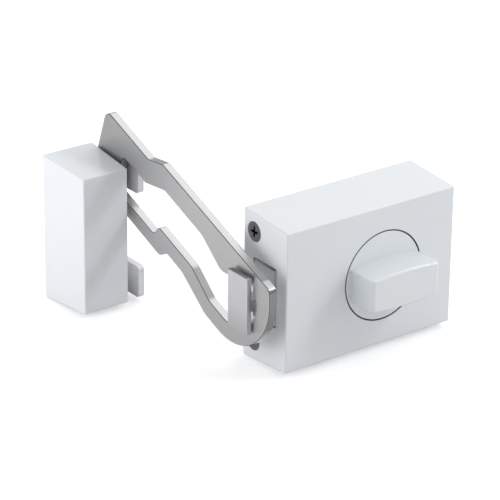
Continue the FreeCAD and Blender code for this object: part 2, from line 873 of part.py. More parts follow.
def strike_cover():
    outside = strike_frustum(0, frame_face, strike_face)
    sharp = edges_where(outside, lambda middle, edge: middle.y < frame_face - 0.01)
    outside = outside.makeFillet(strike_edge_r, sharp)
    cover = outside.cut(strike_frustum(strike_wall, frame_face + 1, strike_face + strike_wall))
    cover = cover.cut(bolt_passage(mouth_gap, strike_middle, strike_side + 1))
    notch = flange_half + seat_gap
    cover = cover.cut(box(strike_middle, strike_side + 1, frame_face - flange_t - seat_gap,
                          frame_face + 1, -notch, notch))
    cover = cover.cut(rod_x(pivot_y, pivot_z, spacer_r + spacer_hole_gap, strike_middle, strike_side + 1))
    for y, z in strike_screw_places():
        cover = cover.cut(rod_x(y, z, strike_screw_r + 0.2, strike_middle, strike_side + 1))
    return cover


def frame_screw_places():
    """The four holes through which the strike is screwed to the door frame."""
    middle = (strike_end + strike_wall + cheek_inner) / 2
    return [(middle + i * frame_screw_pitch_x / 2, j * frame_screw_pitch_z / 2)
            for i in (-1, 1) for j in (-1, 1)]


def strike_bracket():
    """A folded steel bracket: base on the frame, cheek in the box, and an open-fronted flange."""
    half = flange_half
    base_front = frame_face - flange_t
    taper = flange_t / strike_depth
    base_end = strike_end + strike_wall + strike_draw_x * taper + seat_gap
    base_half = strike_height / 2 - strike_wall - strike_draw_z * taper - seat_gap
    base = plate_y(rectangle(base_end, flange_face, -base_half, base_half, 0.8), base_front, frame_face)
    swing = box(strike_side, bar_far + bar_play / 2, base_front - 1, frame_face + 1,
                pivot_z - pivot_boss_r - heel_room, half + 1)
    base = base.cut(swing)
    flange_front = frame_face - flange_reach
    opening_half = flange_opening / 2
    web_front = frame_face - flange_web
    corner = flange_corner_r
    outline = [(frame_face, -half, 0), (flange_front, -half, corner), (flange_front, -opening_half, corner),
               (web_front, -opening_half, corner), (web_front, opening_half, corner),
               (flange_front, opening_half, corner), (flange_front, half, corner), (frame_face, half, 0)]
    flange = plate_x(outline, flange_inner, flange_face)
    cheek_half = half - cheek_from_flange
    cheek_front = frame_face - cheek_reach
    cheek = plate_x(rectangle(cheek_front, frame_face, -cheek_half, cheek_half, 0), cheek_inner, cheek_face)
    cheek = cheek.cut(bolt_passage(mouth_gap, cheek_inner - 1, cheek_face + 1))
    bracket = base.fuse([flange, cheek]).removeSplitter()
    bracket = bracket.cut(rod_x(pivot_y, pivot_z, pivot_r + rivet_fit, cheek_inner - 1, flange_face + 1))
    for x, z in frame_screw_places():
        bracket = bracket.cut(rod_y(x, z, frame_screw_hole_r, base_front - 1, frame_face + 1))
    for y, z in strike_screw_places():
        bracket = bracket.cut(rod_x(y, z, strike_screw_r + rivet_fit, cheek_inner - 1, cheek_face + 1))
    return bracket


def strike_wall_x(y):
    """The outer face of the strike box's lock side, at a depth."""
    return strike_side - strike_draw_x * (frame_face - y) / strike_depth


def strike_cover_screws():
    """Pan-head screws through the tapered wall into the cheek, hidden by the bar."""
    screws = []
    for y, z in strike_screw_places():
        seat = strike_wall_x(y + strike_screw_head_r) + strike_screw_seat
        shank = rod_x(y, z, strike_screw_r, seat - strike_screw_length, seat)
        head = rod_x(y, z, strike_screw_head_r, seat, seat + strike_screw_head_t)
        slot = box(seat + strike_screw_head_t / 2, seat + strike_screw_head_t + 1,
                   y - strike_screw_head_r - 1, y + strike_screw_head_r + 1, z - 0.5, z + 0.5)
        screws.append(shank.fuse(head.cut(slot)))
    return Part.makeCompound(screws)


# Bar and its pivot

def bar_place(a, b):
    """A point of the bar, a along it from the pivot to the lock, b above it."""
    turn = math.radians(bar_angle)
    return Vector(bar_near, pivot_y - a * math.cos(turn) - b * math.sin(turn),
                  pivot_z - a * math.sin(turn) + b * math.cos(turn))


def restrictor_bar():
    """The slotted bar, cut from plate, with its stepped edges and the eye at the lock end."""
    outline = [
        (-pivot_boss_r, -pivot_boss_r, pivot_boss_r - 0.1),
        (bar_low_step_from, -pivot_boss_r, bar_low_step_r),
        (bar_low_step_to, -bar_waist_height, bar_step_r),
        (bar_ramp_from, -bar_waist_height, bar_ramp_r),
        (bar_ramp_to, -bar_low_height, bar_ramp_r),
        (bar_reach, -bar_low_height, bar_end_r),
        (bar_reach, bar_end_shoulder, bar_end_r),
        (bar_top_corner, bar_top_height, bar_top_corner_r),
        (bar_top_step_to, bar_top_height, bar_step_r),
        (bar_top_step_from, bar_heel_height, bar_step_r),
        (-bar_heel_back, bar_heel_height, bar_heel_r)]
    slot = [
        (slot_start, -slot_low, slot_corner_r),
        (slot_low_step_from, -slot_low, slot_step_r),
        (slot_low_step_to, slot_waist, slot_step_r),
        (slot_low_ramp_from, slot_waist, bar_ramp_r),
        (slot_low_ramp_to, -slot_low, bar_ramp_r),
        (slot_reach, -slot_low, slot_end_r),
        (slot_reach, slot_end_shoulder, slot_shoulder_r),
        (slot_eye_corner, slot_eye_height, slot_eye_r),
        (slot_nose, slot_nose_height, bar_ramp_r),
        (slot_top_ramp_from, slot_top, bar_ramp_r),
        (slot_top_step_to, slot_top, bar_step_r),
        (slot_top_step_from, slot_high, bar_step_r),
        (slot_start, slot_high, slot_corner_r)]
    plate = Part.Face(rounded_outline(outline, bar_place)).extrude(Vector(bar_t, 0, 0))
    hole = Part.Face(rounded_outline(slot, bar_place)).extrude(Vector(bar_t, 0, 0))
    bar = plate.cut(hole)
    rims = edges_where(bar, lambda middle, edge: abs(middle.x - bar_near) < 0.01
                       or abs(middle.x - bar_far) < 0.01)
    bar = bar.makeFillet(bar_edge_r, rims)
    return bar.cut(rod_x(pivot_y, pivot_z, pivot_bush_r + rivet_fit, bar_near - 1, bar_far + 1))


def pivot_bush():
    return hollow_ring(rod_x(pivot_y, pivot_z, pivot_bush_r, bar_near, bar_far),
                       rod_x(pivot_y, pivot_z, pivot_r + shaft_fit, bar_near - 1, bar_far + 1))


def pivot_spacer():
    end = bar_near - pivot_side_play
    return hollow_ring(rod_x(pivot_y, pivot_z, spacer_r, cheek_face, end),
                       rod_x(pivot_y, pivot_z, pivot_r + rivet_fit, cheek_face - 1, end + 1))


def pivot_washer():
    start = bar_far + pivot_side_play
    return hollow_ring(rod_x(pivot_y, pivot_z, pivot_washer_r, start, flange_inner),
                       rod_x(pivot_y, pivot_z, pivot_r + rivet_fit, start - 1, flange_inner + 1))


def pivot_pin():
    tail = cheek_inner - pivot_tail
    pin = rod_x(pivot_y, pivot_z, pivot_r, tail, flange_face)
    head = rod_x(pivot_y, pivot_z, pivot_head_r, flange_face, flange_face + pivot_head_t)
    head = head.makeChamfer(0.4, edges_where(head, lambda middle, edge: abs(
        edge.Vertexes[0].X - flange_face - pivot_head_t) < 0.01 and edge.Curve.TypeId == "Part::GeomCircle"))
    groove_end = cheek_inner
    groove = hollow_ring(rod_x(pivot_y, pivot_z, pivot_r + 1, groove_end - circlip_t, groove_end),
                         rod_x(pivot_y, pivot_z, pivot_r - circlip_groove, groove_end - circlip_t - 1,
                               groove_end + 1))
    return pin.fuse(head).cut(groove)


def pivot_circlip():
    start = cheek_inner - circlip_t
    ring = hollow_ring(rod_x(pivot_y, pivot_z, circlip_outer_r, start, cheek_inner),
                       rod_x(pivot_y, pivot_z, pivot_r - circlip_groove + 0.03, start - 1, cheek_inner + 1))
    mouth = box(start - 1, cheek_inner + 1, pivot_y - circlip_mouth / 2, pivot_y + circlip_mouth / 2,
                pivot_z - circlip_outer_r - 1, pivot_z)
    return open_clip(ring, mouth)


def main():
    os.makedirs("parts", exist_ok=True)
    rear_flange_front = -plate_t - bush_flange_t
    pieces = {
        "lock_cover": lock_cover(),
        "lock_base_plate": lock_base_plate(),
        "cover_screws": cover_screws(),
        "front_bridge": front_bridge(),
        "bridge_pillars": bridge_pillars(),
        "bridge_screws": bridge_screws(),
        "front_bush": flanged_bush(bush_flange_front, bridge_front, bridge_back),
        "rear_bush": flanged_bush(rear_flange_front, -plate_t, 0),
        "bolt_rail": bolt_rail(),
        "rail_rivets": rail_rivets(),
        "rack_guides": rack_guides(),
        "guide_screws": guide_screws(),
        "friction_spring": friction_spring(),
        "spring_rivet": spring_rivet(),
        "thumb_turn": thumb_turn(),
        "spindle": spindle(),
        "pinion": pinion(),
        "retaining_clip": retaining_clip(),
        "knob_washer": knob_washer(),
        "hook_bolt": hook_bolt(),
        "rack_plate": rack_plate(),
        "bolt_rivets": bolt_rivets(),
        "strike_cover": strike_cover(),
        "strike_bracket": strike_bracket(),
        "strike_cover_screws": strike_cover_screws(),
        "pivot_pin": pivot_pin(),
        "pivot_spacer": pivot_spacer(),
        "pivot_washer": pivot_washer(),
        "pivot_circlip": pivot_circlip(),
        "restrictor_bar": restrictor_bar(),
        "pivot_bush": pivot_bush(),
    }
    for name, shape in pieces.items():
        save(name, shape)


main()
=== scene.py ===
"""Finishes, finer pieces, stage and camera for the rim lock and its limiter bar."""

import math

import bmesh
import bpy
from bpy.props import FloatProperty, FloatVectorProperty, IntProperty, PointerProperty
from mathutils import Matrix, Vector


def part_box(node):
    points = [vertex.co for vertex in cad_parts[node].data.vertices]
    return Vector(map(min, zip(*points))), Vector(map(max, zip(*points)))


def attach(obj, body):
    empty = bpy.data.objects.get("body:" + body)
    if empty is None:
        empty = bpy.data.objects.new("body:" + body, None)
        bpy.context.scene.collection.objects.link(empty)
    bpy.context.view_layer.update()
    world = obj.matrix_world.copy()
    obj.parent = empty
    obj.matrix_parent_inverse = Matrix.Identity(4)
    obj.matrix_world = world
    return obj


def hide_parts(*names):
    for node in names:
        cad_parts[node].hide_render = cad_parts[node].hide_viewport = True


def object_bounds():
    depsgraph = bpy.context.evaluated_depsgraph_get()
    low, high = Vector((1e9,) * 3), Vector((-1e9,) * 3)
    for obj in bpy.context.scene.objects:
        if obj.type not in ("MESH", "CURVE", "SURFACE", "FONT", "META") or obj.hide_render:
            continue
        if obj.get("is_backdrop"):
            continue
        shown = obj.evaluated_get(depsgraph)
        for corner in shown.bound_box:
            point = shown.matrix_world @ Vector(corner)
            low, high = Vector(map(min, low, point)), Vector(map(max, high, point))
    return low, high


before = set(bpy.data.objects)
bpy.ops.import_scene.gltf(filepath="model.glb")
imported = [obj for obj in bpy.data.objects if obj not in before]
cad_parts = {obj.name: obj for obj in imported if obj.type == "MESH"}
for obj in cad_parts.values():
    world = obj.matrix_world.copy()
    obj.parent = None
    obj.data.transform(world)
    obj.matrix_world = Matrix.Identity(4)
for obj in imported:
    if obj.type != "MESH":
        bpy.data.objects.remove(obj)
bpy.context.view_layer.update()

bl_info = {
    "name": "Rim lock with limiter bar",
    "version": (1, 0, 0),
    "blender": (4, 5, 0),
    "location": "View3D > Sidebar > Rim lock",
    "description": "Dresses the rim lock and its strike, and sets up a pale studio",
    "category": "Object",
}

MM = 0.001


# The gap round the thumb-turn's disc, between two radii and below the case's face, where shade is
# painted dark
SEAM_INNER = 23.05 * MM
SEAM_OUTER = 24.1 * MM
SEAM_SOFT = 0.1 * MM
SEAM_DEPTH = 0.05 * MM

# The bar's tilt when it rests on the bolt, which its draw lines follow
BAR_TILT = math.radians(21.5)

# Areas of painted shade on steel: to which share of its colour it darkens, and the zones that bound
# the area, each with its kind of coordinate, its axis, where it starts and where it is full
# Painted shade on the bar, darker towards its pivot end
BAR_HEEL_SHADE = (0.78, (("Object", "Y", 45.0 * MM, 100.0 * MM),))
# Painted darker reflection of the case's shaded side on the bar's upward edges near the case
BAR_EDGE_CASE_SHADE = (0.52, (("Object", "Y", -8.0 * MM, -24.0 * MM),
                           ("Object", "Y", -32.8 * MM, -31.8 * MM),
                           ("Object", "Z", 8.0 * MM, 12.0 * MM),
                           ("Normal", "Z", 0.5, 0.8)))
# Painted shade, darker towards the lower end of the bolt's head
HEAD_LOWER_SHADE = (0.80, (("Object", "Z", 1.0 * MM, -17.0 * MM),
                         ("Object", "X", -72.0 * MM, -74.0 * MM)))
# Painted shade on the faces of the bolt's head and neck that face the room
HEAD_FRONT_SHADE = (0.68, (("Object", "X", -59.0 * MM, -61.0 * MM), ("Normal", "Y", -0.6, -0.9)))
# Painted shade on the bolt's block next to the case, in the narrow space behind the bar
BOLT_BLOCK_SHADE = (0.55, (("Object", "X", -66.0 * MM, -62.0 * MM),))
# Painted shade on the inner faces of the bracket's upper tab, darker further back in the gap behind
# the bar
BRACKET_INSIDE_SHADE = (0.18, (("Object", "Y", 80.0 * MM, 96.0 * MM),
                         ("Object", "Z", 10.0 * MM, 20.0 * MM),
                         ("Normal", "X", -0.5, -0.9)))

# Fine patterns, in waves per metre
COAT_CLOUD, COAT_RIPPLE, COAT_GRAIN = 45.0, 900.0, 5200.0
DRAW_LINES, STEEL_MOTTLE = 1400.0, 160.0
SCREW_CLOUD, SCREW_GRAIN = 420.0, 2600.0
BRASS_CLOUD, TOOL_RINGS = 300.0, 900.0
NYLON_CLOUD = 220.0
PAPER_GRAIN = 30.0

# Depth of the relief on the finishes without a setting for it
DRAW_DEPTH = 0.004 * MM
SCREW_GRAIN_DEPTH = 0.006 * MM
RING_DEPTH = 0.005 * MM
NYLON_DEPTH = 0.01 * MM

# The clear layer of the powder coat
COAT_LAYER, COAT_LAYER_ROUGHNESS = 0.5, 0.16

# Colours of what stays the same whatever the finish settings say
# Painted shade in the seam round the thumb-turn's disc
SEAM_PAINTED_SHADE = (0.10, 0.10, 0.11, 1)
# Painted shade down in the side screws' cross
CROSS_PAINTED_SHADE = (0.012, 0.012, 0.014, 1)
INNER_STEEL = (0.50, 0.51, 0.53)
SPRING_STEEL = (0.24, 0.25, 0.29)
DARK_BRASS, LIGHT_BRASS = (0.60, 0.44, 0.19, 1), (0.74, 0.57, 0.27, 1)
DARK_NYLON, LIGHT_NYLON = (0.66, 0.64, 0.57, 1), (0.74, 0.72, 0.66, 1)
DARK_PAPER, LIGHT_PAPER = (0.65, 0.65, 0.66, 1), (0.67, 0.67, 0.68, 1)
WHITE = (1, 1, 1, 1)

# The side screws, where their settings say nothing
HEAD_DOME = 0.12 * MM
DOME_TOP = 0.02 * MM
TIP_BEVEL = 0.6 * MM
SHANK_SHARE = 0.55
CROSS_TAPER = 0.55
CROSS_PROUD = 0.4 * MM

# Meshes: how near two points are one, and the angle from which an edge is sharp
SAME_POINT = 1e-7
SHARP_EDGE = math.radians(28)

# Lamps: place from the middle of the object, disk size, and whether steel mirrors it
KEY_LAMP = (Vector((1.0, -0.7, 0.9)), 0.35, True)
BACK_LAMP = (Vector((0.9, 0.4, 0.9)), 1.0, False)
FILL_LAMP = (Vector((1.1, -0.8, 0.3)), 0.8, False)
SIDE_LAMP = (Vector((-0.42, 0.10, 0.05)), 0.35, False)

# Patches of the sky that steel mirrors: middle, cosine at the rim, cosine where it is full
BRIGHT_PATCH = ((0.572, 0.40, 0.715), 0.70, 0.93)
DARK_LEFT = ((-0.63, 0.3, 0.716), 0.5, 0.85)
DARK_HORIZON = ((0.57, 0.815, 0.10), 0.90, 0.98)
LEFT_LEVEL, HORIZON_LEVEL = 0.05, 0.12  # How bright the two dark ones are

# The floor: half its width, its drop below the object, and how it glows for the camera further out
FLOOR_HALF = 4.0
FLOOR_DROP = 0.3 * MM
NEAR_GLOW, FAR_GLOW = (0.49, 0.49, 0.49, 1), (0.60, 0.60, 0.60, 1)
GLOW_CHANGES = (0.5, 1.6)

# The camera, at the photo's angle
CAMERA_PLACE = Vector((-0.7849, -0.9746, 0.5628))
CAMERA_AZIMUTH = math.radians(36.77)
CAMERA_ELEVATION = math.radians(24.21)
CAMERA_ROLL = math.radians(0.67)
CAMERA_SENSOR = 36.0
CAMERA_SEES = (0.05, 50.0)


# Settings that a user would change

class FinishSettings(bpy.types.PropertyGroup):
    """Colours and gloss of the lock's finishes."""

    coat_colour: FloatVectorProperty(
        name="Coat colour", description="Colour of the white powder coat",
        subtype="COLOR", size=3, min=0, max=1, default=(0.786, 0.818, 0.842))
    coat_roughness: FloatProperty(
        name="Coat roughness", description="How matt the powder coat is",
        subtype="FACTOR", min=0, max=1, default=0.38)
    peel_depth: FloatProperty(
        name="Orange peel depth", description="Height of the coat's fine ripple",
        subtype="DISTANCE", unit="LENGTH", min=0, max=0.0002, default=0.000012, precision=6)
    bar_colour: FloatVectorProperty(
        name="Bar colour", description="Colour of the bar's satin faces",
        subtype="COLOR", size=3, min=0, max=1, default=(0.70, 0.69, 0.69))
    # The rim colour is partly the cut edges' own finish and partly a painted highlight
    rim_colour: FloatVectorProperty(
        name="Rim colour", description="Colour of the bar's bright cut edges",
        subtype="COLOR", size=3, min=0, max=1, default=(0.80, 0.80, 0.805))
    bolt_colour: FloatVectorProperty(
        name="Bolt colour", description="Colour of the hook bolt",
        subtype="COLOR", size=3, min=0, max=1, default=(0.92, 0.925, 0.94))
    bracket_colour: FloatVectorProperty(
        name="Bracket colour", description="Colour of the strike's bracket",
        subtype="COLOR", size=3, min=0, max=1, default=(0.875, 0.868, 0.875))
    screw_colour: FloatVectorProperty(
        name="Screw colour", description="Colour of the darkened side screws",
        subtype="COLOR", size=3, min=0, max=1, default=(0.20, 0.205, 0.215))


class ScrewSettings(bpy.types.PropertyGroup):
    """Sizes of the two side screws."""

    segments: IntProperty(
        name="Segments", description="Sides of each turned head", min=12, max=128, default=64)
    edge_break: FloatProperty(
        name="Edge break", description="Small flat on the rim of the head",
        subtype="DISTANCE", unit="LENGTH", min=0, max=0.001, default=0.00022, precision=5)
    recess_length: FloatProperty(
        name="Recess length", description="Length of each arm pair of the cross at the face",
        subtype="DISTANCE", unit="LENGTH", min=0.001, max=0.01, default=0.0062, precision=5)
    recess_width: FloatProperty(
        name="Recess width", description="Width of the arms of the cross at the face",
        subtype="DISTANCE", unit="LENGTH", min=0.0002, max=0.004, default=0.0016, precision=5)
    recess_depth: FloatProperty(
        name="Recess depth", description="Depth of the cross",
        subtype="DISTANCE", unit="LENGTH", min=0.0002, max=0.004, default=0.0028, precision=5)


class StageSettings(bpy.types.PropertyGroup):
    """Floor, lamps and camera."""

    key_power: FloatProperty(
        name="Key lamp", description="Power of the lamp above, to the right and in front",
        subtype="POWER", unit="POWER", min=0, max=500, default=4.8)
    back_power: FloatProperty(
        name="Back lamp", description="Power of the large lamp above and behind on the right",
        subtype="POWER", unit="POWER", min=0, max=500, default=5.0)
    fill_power: FloatProperty(
        name="Fill lamp", description="Power of the large low lamp in front on the right",
        subtype="POWER", unit="POWER", min=0, max=500, default=2.8)
    side_power: FloatProperty(
        name="Side lamp", description="Power of the lamp close to the strike's outer side",
        subtype="POWER", unit="POWER", min=0, max=500, default=0.9)
    sky_strength: FloatProperty(
        name="Sky", description="Strength of the even light from all round",
        subtype="FACTOR", min=0, max=2, default=0.66)
    mirrored_sky: FloatProperty(
        name="Mirrored sky",
        description="How bright the steel sees the sky away from its bright patch",
        subtype="FACTOR", min=0, max=1, default=0.42)
    lens: FloatProperty(
        name="Lens", description="Focal length of the camera",
        subtype="DISTANCE_CAMERA", unit="CAMERA", min=10, max=500, default=197.2)


# Shader nodes as plain expressions

class Signal:
    """A socket's value, with arithmetic that adds its own nodes."""

    def __init__(self, shader, socket):
        self.shader = shader
        self.socket = socket

    def apply(self, operation, *values):
        """Adds a Math node over numbers or signals."""
        return self.shader.node("ShaderNodeMath", {"operation": operation}, dict(enumerate(values)))

    def __add__(self, other):
        return self.apply("ADD", self, other)

    def __radd__(self, other):
        return self.apply("ADD", other, self)

    def __sub__(self, other):
        return self.apply("SUBTRACT", self, other)

    def __rsub__(self, other):
        return self.apply("SUBTRACT", other, self)

    def __mul__(self, other):
        return self.apply("MULTIPLY", self, other)

    def __rmul__(self, other):
        return self.apply("MULTIPLY", other, self)

    def __abs__(self):
        return self.apply("ABSOLUTE", self)

    def step(self, low, high):
        """Rises smoothly from 0 to 1 between two values."""
        settings = {"interpolation_type": "SMOOTHSTEP"}
        inputs = {"Value": self, "From Min": low, "From Max": high}
        return self.shader.node("ShaderNodeMapRange", settings, inputs)


class Shader:
    """A material's or world's node tree."""

    def __init__(self, tree):
        self.tree = tree
        tree.nodes.clear()

    def node(self, kind, settings=None, inputs=None, output=0):
        """Adds a node with its settings, then its socket values or links."""
        node = self.tree.nodes.new(kind)
        for name, value in (settings or {}).items():
            setattr(node, name, value)
        for name, value in (inputs or {}).items():
            if isinstance(value, Signal):
                self.tree.links.new(value.socket, node.inputs[name])
            else:
                node.inputs[name].default_value = value
        return Signal(self, node.outputs[output]) if len(node.outputs) else node

    def place(self, scale=(1, 1, 1), turn=(0, 0, 0)):
        """The point on the piece, stretched and turned."""
        point = self.node("ShaderNodeTexCoord", output="Object")
        inputs = {"Vector": point, "Scale": scale, "Rotation": turn}
        return self.node("ShaderNodeMapping", {}, inputs)

    def axis(self, vector, axis):
        """One part of a point or a direction."""
        return self.node("ShaderNodeSeparateXYZ", {}, {"Vector": vector}, axis)

    def length(self, vector):
        """How far a point lies from the origin."""
        return self.node("ShaderNodeVectorMath", {"operation": "LENGTH"}, {0: vector}, "Value")

    def noise(self, place, scale, detail=2.0, roughness=0.5):
        """A soft cloud, with its scale in waves per metre."""
        inputs = {"Vector": place, "Scale": scale, "Detail": detail, "Roughness": roughness}
        return self.node("ShaderNodeTexNoise", {}, inputs)

    def blend(self, amount, first, second):
        """A colour between two, by an amount."""
        inputs = {0: amount, 6: first, 7: second}
        return self.node("ShaderNodeMix", {"data_type": "RGBA"}, inputs, 2)

    def bump(self, height, distance):
        """Relief of a given depth in metres."""
        return self.node("ShaderNodeBump", {}, {"Height": height, "Distance": distance})

    def surface(self, **values):
        """The finished surface: socket names with their spaces as underscores."""
        inputs = {name.replace("_", " "): value for name, value in values.items()}
        shader = self.node("ShaderNodeBsdfPrincipled", {}, inputs)
        self.node("ShaderNodeOutputMaterial", {}, {"Surface": shader})


def opaque(colour, share=1.0):
    """A colour with its alpha, dimmed by a share."""
    return tuple(value * share for value in colour[:3]) + (1.0,)


def new_material(name):
    """An empty node material and its shader."""
    material = bpy.data.materials.new(name)
    material.use_nodes = True
    return material, Shader(material.node_tree)


def seam_shade(shader, face_y):
    """How far a point lies in the seam round the disc, below the case's face, where shade is
    painted dark.
    """
    radius = shader.length(shader.place((1, 0, 1)))
    sunk = shader.axis(shader.place(), "Y")
    past_inner = radius.step(SEAM_INNER, SEAM_INNER + SEAM_SOFT)
    past_outer = radius.step(SEAM_OUTER, SEAM_OUTER + SEAM_SOFT)
    start = face_y + SEAM_DEPTH
    return past_inner * (1 - past_outer) * sunk.step(start, start + 0.3 * MM)


def powder_coat(name, colour, roughness, peel, face_y):
    """White powder coat: a soft ripple, a slight cloud in tone and gloss, and painted shade in the
    seam round the disc.
    """
    material, shader = new_material(name)
    place = shader.place()
    cloud = shader.noise(place, COAT_CLOUD, 3.0)
    ripple = shader.noise(place, COAT_RIPPLE, 2.0)
    grain = shader.noise(place, COAT_GRAIN, 1.0)
    tone = shader.blend(cloud, opaque(colour, 0.985), opaque(colour))
    # Painted shade in the seam round the disc
    tone = shader.blend(seam_shade(shader, face_y), tone, SEAM_PAINTED_SHADE)
    gloss = roughness + (cloud - 0.5) * 0.10 + (ripple - 0.5) * 0.05
    shader.surface(Base_Color=tone, Metallic=0.0, Roughness=gloss,
                   Normal=shader.bump(ripple + grain * 0.25, peel),
                   Coat_Weight=COAT_LAYER, Coat_Roughness=COAT_LAYER_ROUGHNESS)
    return material


def add_painted_shade(shader, base, colour, areas):
    """Steel darkened to a share of its colour as painted shade in each area, where all of the
    area's zones are.
    """
    for share, zones in areas:
        reached = 1.0
        for kind, axis, start, full in zones:
            source = shader.node("ShaderNodeTexCoord", output=kind)
            reached = shader.axis(source, axis).step(start, full) * reached
        base = shader.blend(reached, base, opaque(colour, share))
    return base


def cut_edges(shader, base, colour, rim):
    """Where a plate that lies across X shows its edge, and its colour with the edges on it.

    The edge gets a brighter colour, partly the cut edge's own finish and partly a painted
    highlight;
    the broken corner between face and edge gets a painted dark reflection line, and an edge that
    faces the room a painted dark reflection.
    """
    normal = shader.node("ShaderNodeTexCoord", output="Normal")
    facing = abs(shader.axis(normal, "X"))
    edge = 1 - facing.step(0.25, 0.80)
    corner = facing.step(0.30, 0.55) * (1 - facing.step(0.93, 0.995))
    front = (shader.axis(normal, "Y") * -1.0).step(0.62, 0.90)
    # Brighter edge colour, partly the cut edge's finish and partly a painted highlight
    base = shader.blend(edge, base, opaque(rim))
    # Painted dark reflection line at the broken corner between face and edge
    base = shader.blend(corner * 0.9, base, opaque(colour, 0.15))
    # Painted dark reflection on edges that face the room
    return edge, shader.blend(edge * front * 0.72, base, opaque(colour, 0.25))


def satin_steel(name, colour, roughness, rim=None, along=(1, 1, 1), turn=(0, 0, 0), metallic=1.0,
                shade_areas=(), rim_shade_areas=()):
    """Plated steel: fine draw lines, areas of painted shade, and bright cut edges, partly a painted
    highlight, if it has a rim colour.
    """
    material, shader = new_material(name)
    streaks = shader.noise(shader.place(along, turn), DRAW_LINES, 3.0, 0.6)
    mottle = shader.noise(shader.place(), STEEL_MOTTLE, 3.0)
    base = shader.blend(streaks * 0.6 + mottle * 0.4, opaque(colour, 0.93), opaque(colour, 1.04))
    gloss = roughness + (streaks - 0.5) * 0.10 + (mottle - 0.5) * 0.06
    # Painted shade in the given areas of the faces
    base = add_painted_shade(shader, base, colour, shade_areas)
    if rim:
        edge, base = cut_edges(shader, base, colour, rim)
        # Painted shade on the cut edges in the given areas
        base = add_painted_shade(shader, base, rim, rim_shade_areas)
        gloss = gloss - edge * 0.10
    shader.surface(Base_Color=base, Metallic=metallic, Roughness=gloss,
                   Normal=shader.bump(streaks, DRAW_DEPTH))
    return material


def dark_steel(name, colour, face_x):
    """Blackened screw steel, slightly mottled, with painted shade down in the cross."""
    material, shader = new_material(name)
    grain = shader.noise(shader.place(), SCREW_GRAIN, 3.0)
    cloud = shader.noise(shader.place(), SCREW_CLOUD, 2.0)
    depth = shader.axis(shader.place(), "X") - face_x
    base = shader.blend(cloud, opaque(colour, 0.8), opaque(colour, 1.25))
    # Painted shade, darker the deeper the point lies in the cross
    base = shader.blend(depth.step(0.2 * MM, 0.8 * MM), base, CROSS_PAINTED_SHADE)
    shader.surface(Base_Color=base, Metallic=0.75, Roughness=0.36 + (grain - 0.5) * 0.2,
                   Normal=shader.bump(grain, SCREW_GRAIN_DEPTH))
    return material


def turned_brass(name):
    """Turned brass with fine tool rings along its axis."""
    material, shader = new_material(name)
    rings = shader.noise(shader.place((0.15, 6.0, 0.15)), TOOL_RINGS, 2.0)
    cloud = shader.noise(shader.place(), BRASS_CLOUD, 2.0)
    base = shader.blend(cloud, DARK_BRASS, LIGHT_BRASS)
    shader.surface(Base_Color=base, Metallic=1.0, Roughness=0.30 + (rings - 0.5) * 0.2,
                   Normal=shader.bump(rings, RING_DEPTH))
    return material


def moulded_nylon(name):
    """Natural nylon, slightly cloudy and matt."""
    material, shader = new_material(name)
    cloud = shader.noise(shader.place(), NYLON_CLOUD, 3.0)
    base = shader.blend(cloud, DARK_NYLON, LIGHT_NYLON)
    shader.surface(Base_Color=base, Metallic=0.0, Roughness=0.50 + (cloud - 0.5) * 0.15,
                   Normal=shader.bump(cloud, NYLON_DEPTH))
    return material


def dress(material, *nodes):
    """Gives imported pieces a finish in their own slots."""
    for name in nodes:
        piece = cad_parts[name]
        if not piece.material_slots:
            piece.data.materials.append(material)
        for slot in piece.material_slots:
            slot.material = material


# New pieces

def mesh_piece(name, work, material, body):
    """Turns a worked mesh into a piece that rides on a body."""
    bmesh.ops.remove_doubles(work, verts=work.verts, dist=SAME_POINT)
    bmesh.ops.recalc_face_normals(work, faces=work.faces)
    mesh = bpy.data.meshes.new(name)
    for edge in work.edges:
        edge.smooth = edge.is_manifold and edge.calc_face_angle(0) < SHARP_EDGE
    for face in work.faces:
        face.smooth = True
    work.to_mesh(mesh)
    work.free()
    mesh.materials.append(material)
    piece = bpy.data.objects.new(name, mesh)
    bpy.context.scene.collection.objects.link(piece)
    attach(piece, body)
    return piece


def turned(profile, origin, segments):
    """A solid turned about X from (x, radius) pairs that start and end on the axis."""
    work = bmesh.new()
    points = [work.verts.new(origin + Vector((x, 0, radius))) for x, radius in profile]
    edges = [work.edges.new(pair) for pair in zip(points, points[1:])]
    bmesh.ops.spin(work, geom=points + edges, cent=origin, axis=(1, 0, 0), angle=2 * math.pi,
                   steps=segments, use_merge=True)
    bmesh.ops.remove_doubles(work, verts=work.verts, dist=SAME_POINT)
    bmesh.ops.recalc_face_normals(work, faces=work.faces)
    return work


def cross_cutter(origin, length, width, depth):
    """The tapered cross of a screw head, standing proud of the face and sunk along X."""
    work = bmesh.new()
    for turn in (0, math.pi / 2):
        arm = bmesh.ops.create_cube(work, size=1)["verts"]
        stretch = Matrix.Diagonal((depth + CROSS_PROUD, width, length, 1))
        move = Matrix.Translation(origin + Vector(((depth - CROSS_PROUD) / 2, 0, 0)))
        bmesh.ops.transform(work, matrix=move @ Matrix.Rotation(turn, 4, "X") @ stretch, verts=arm)
        for vertex in arm:
            if vertex.co.x > origin.x + depth / 2:
                vertex.co.yz = origin.yz + (vertex.co.yz - origin.yz) * CROSS_TAPER
    return work


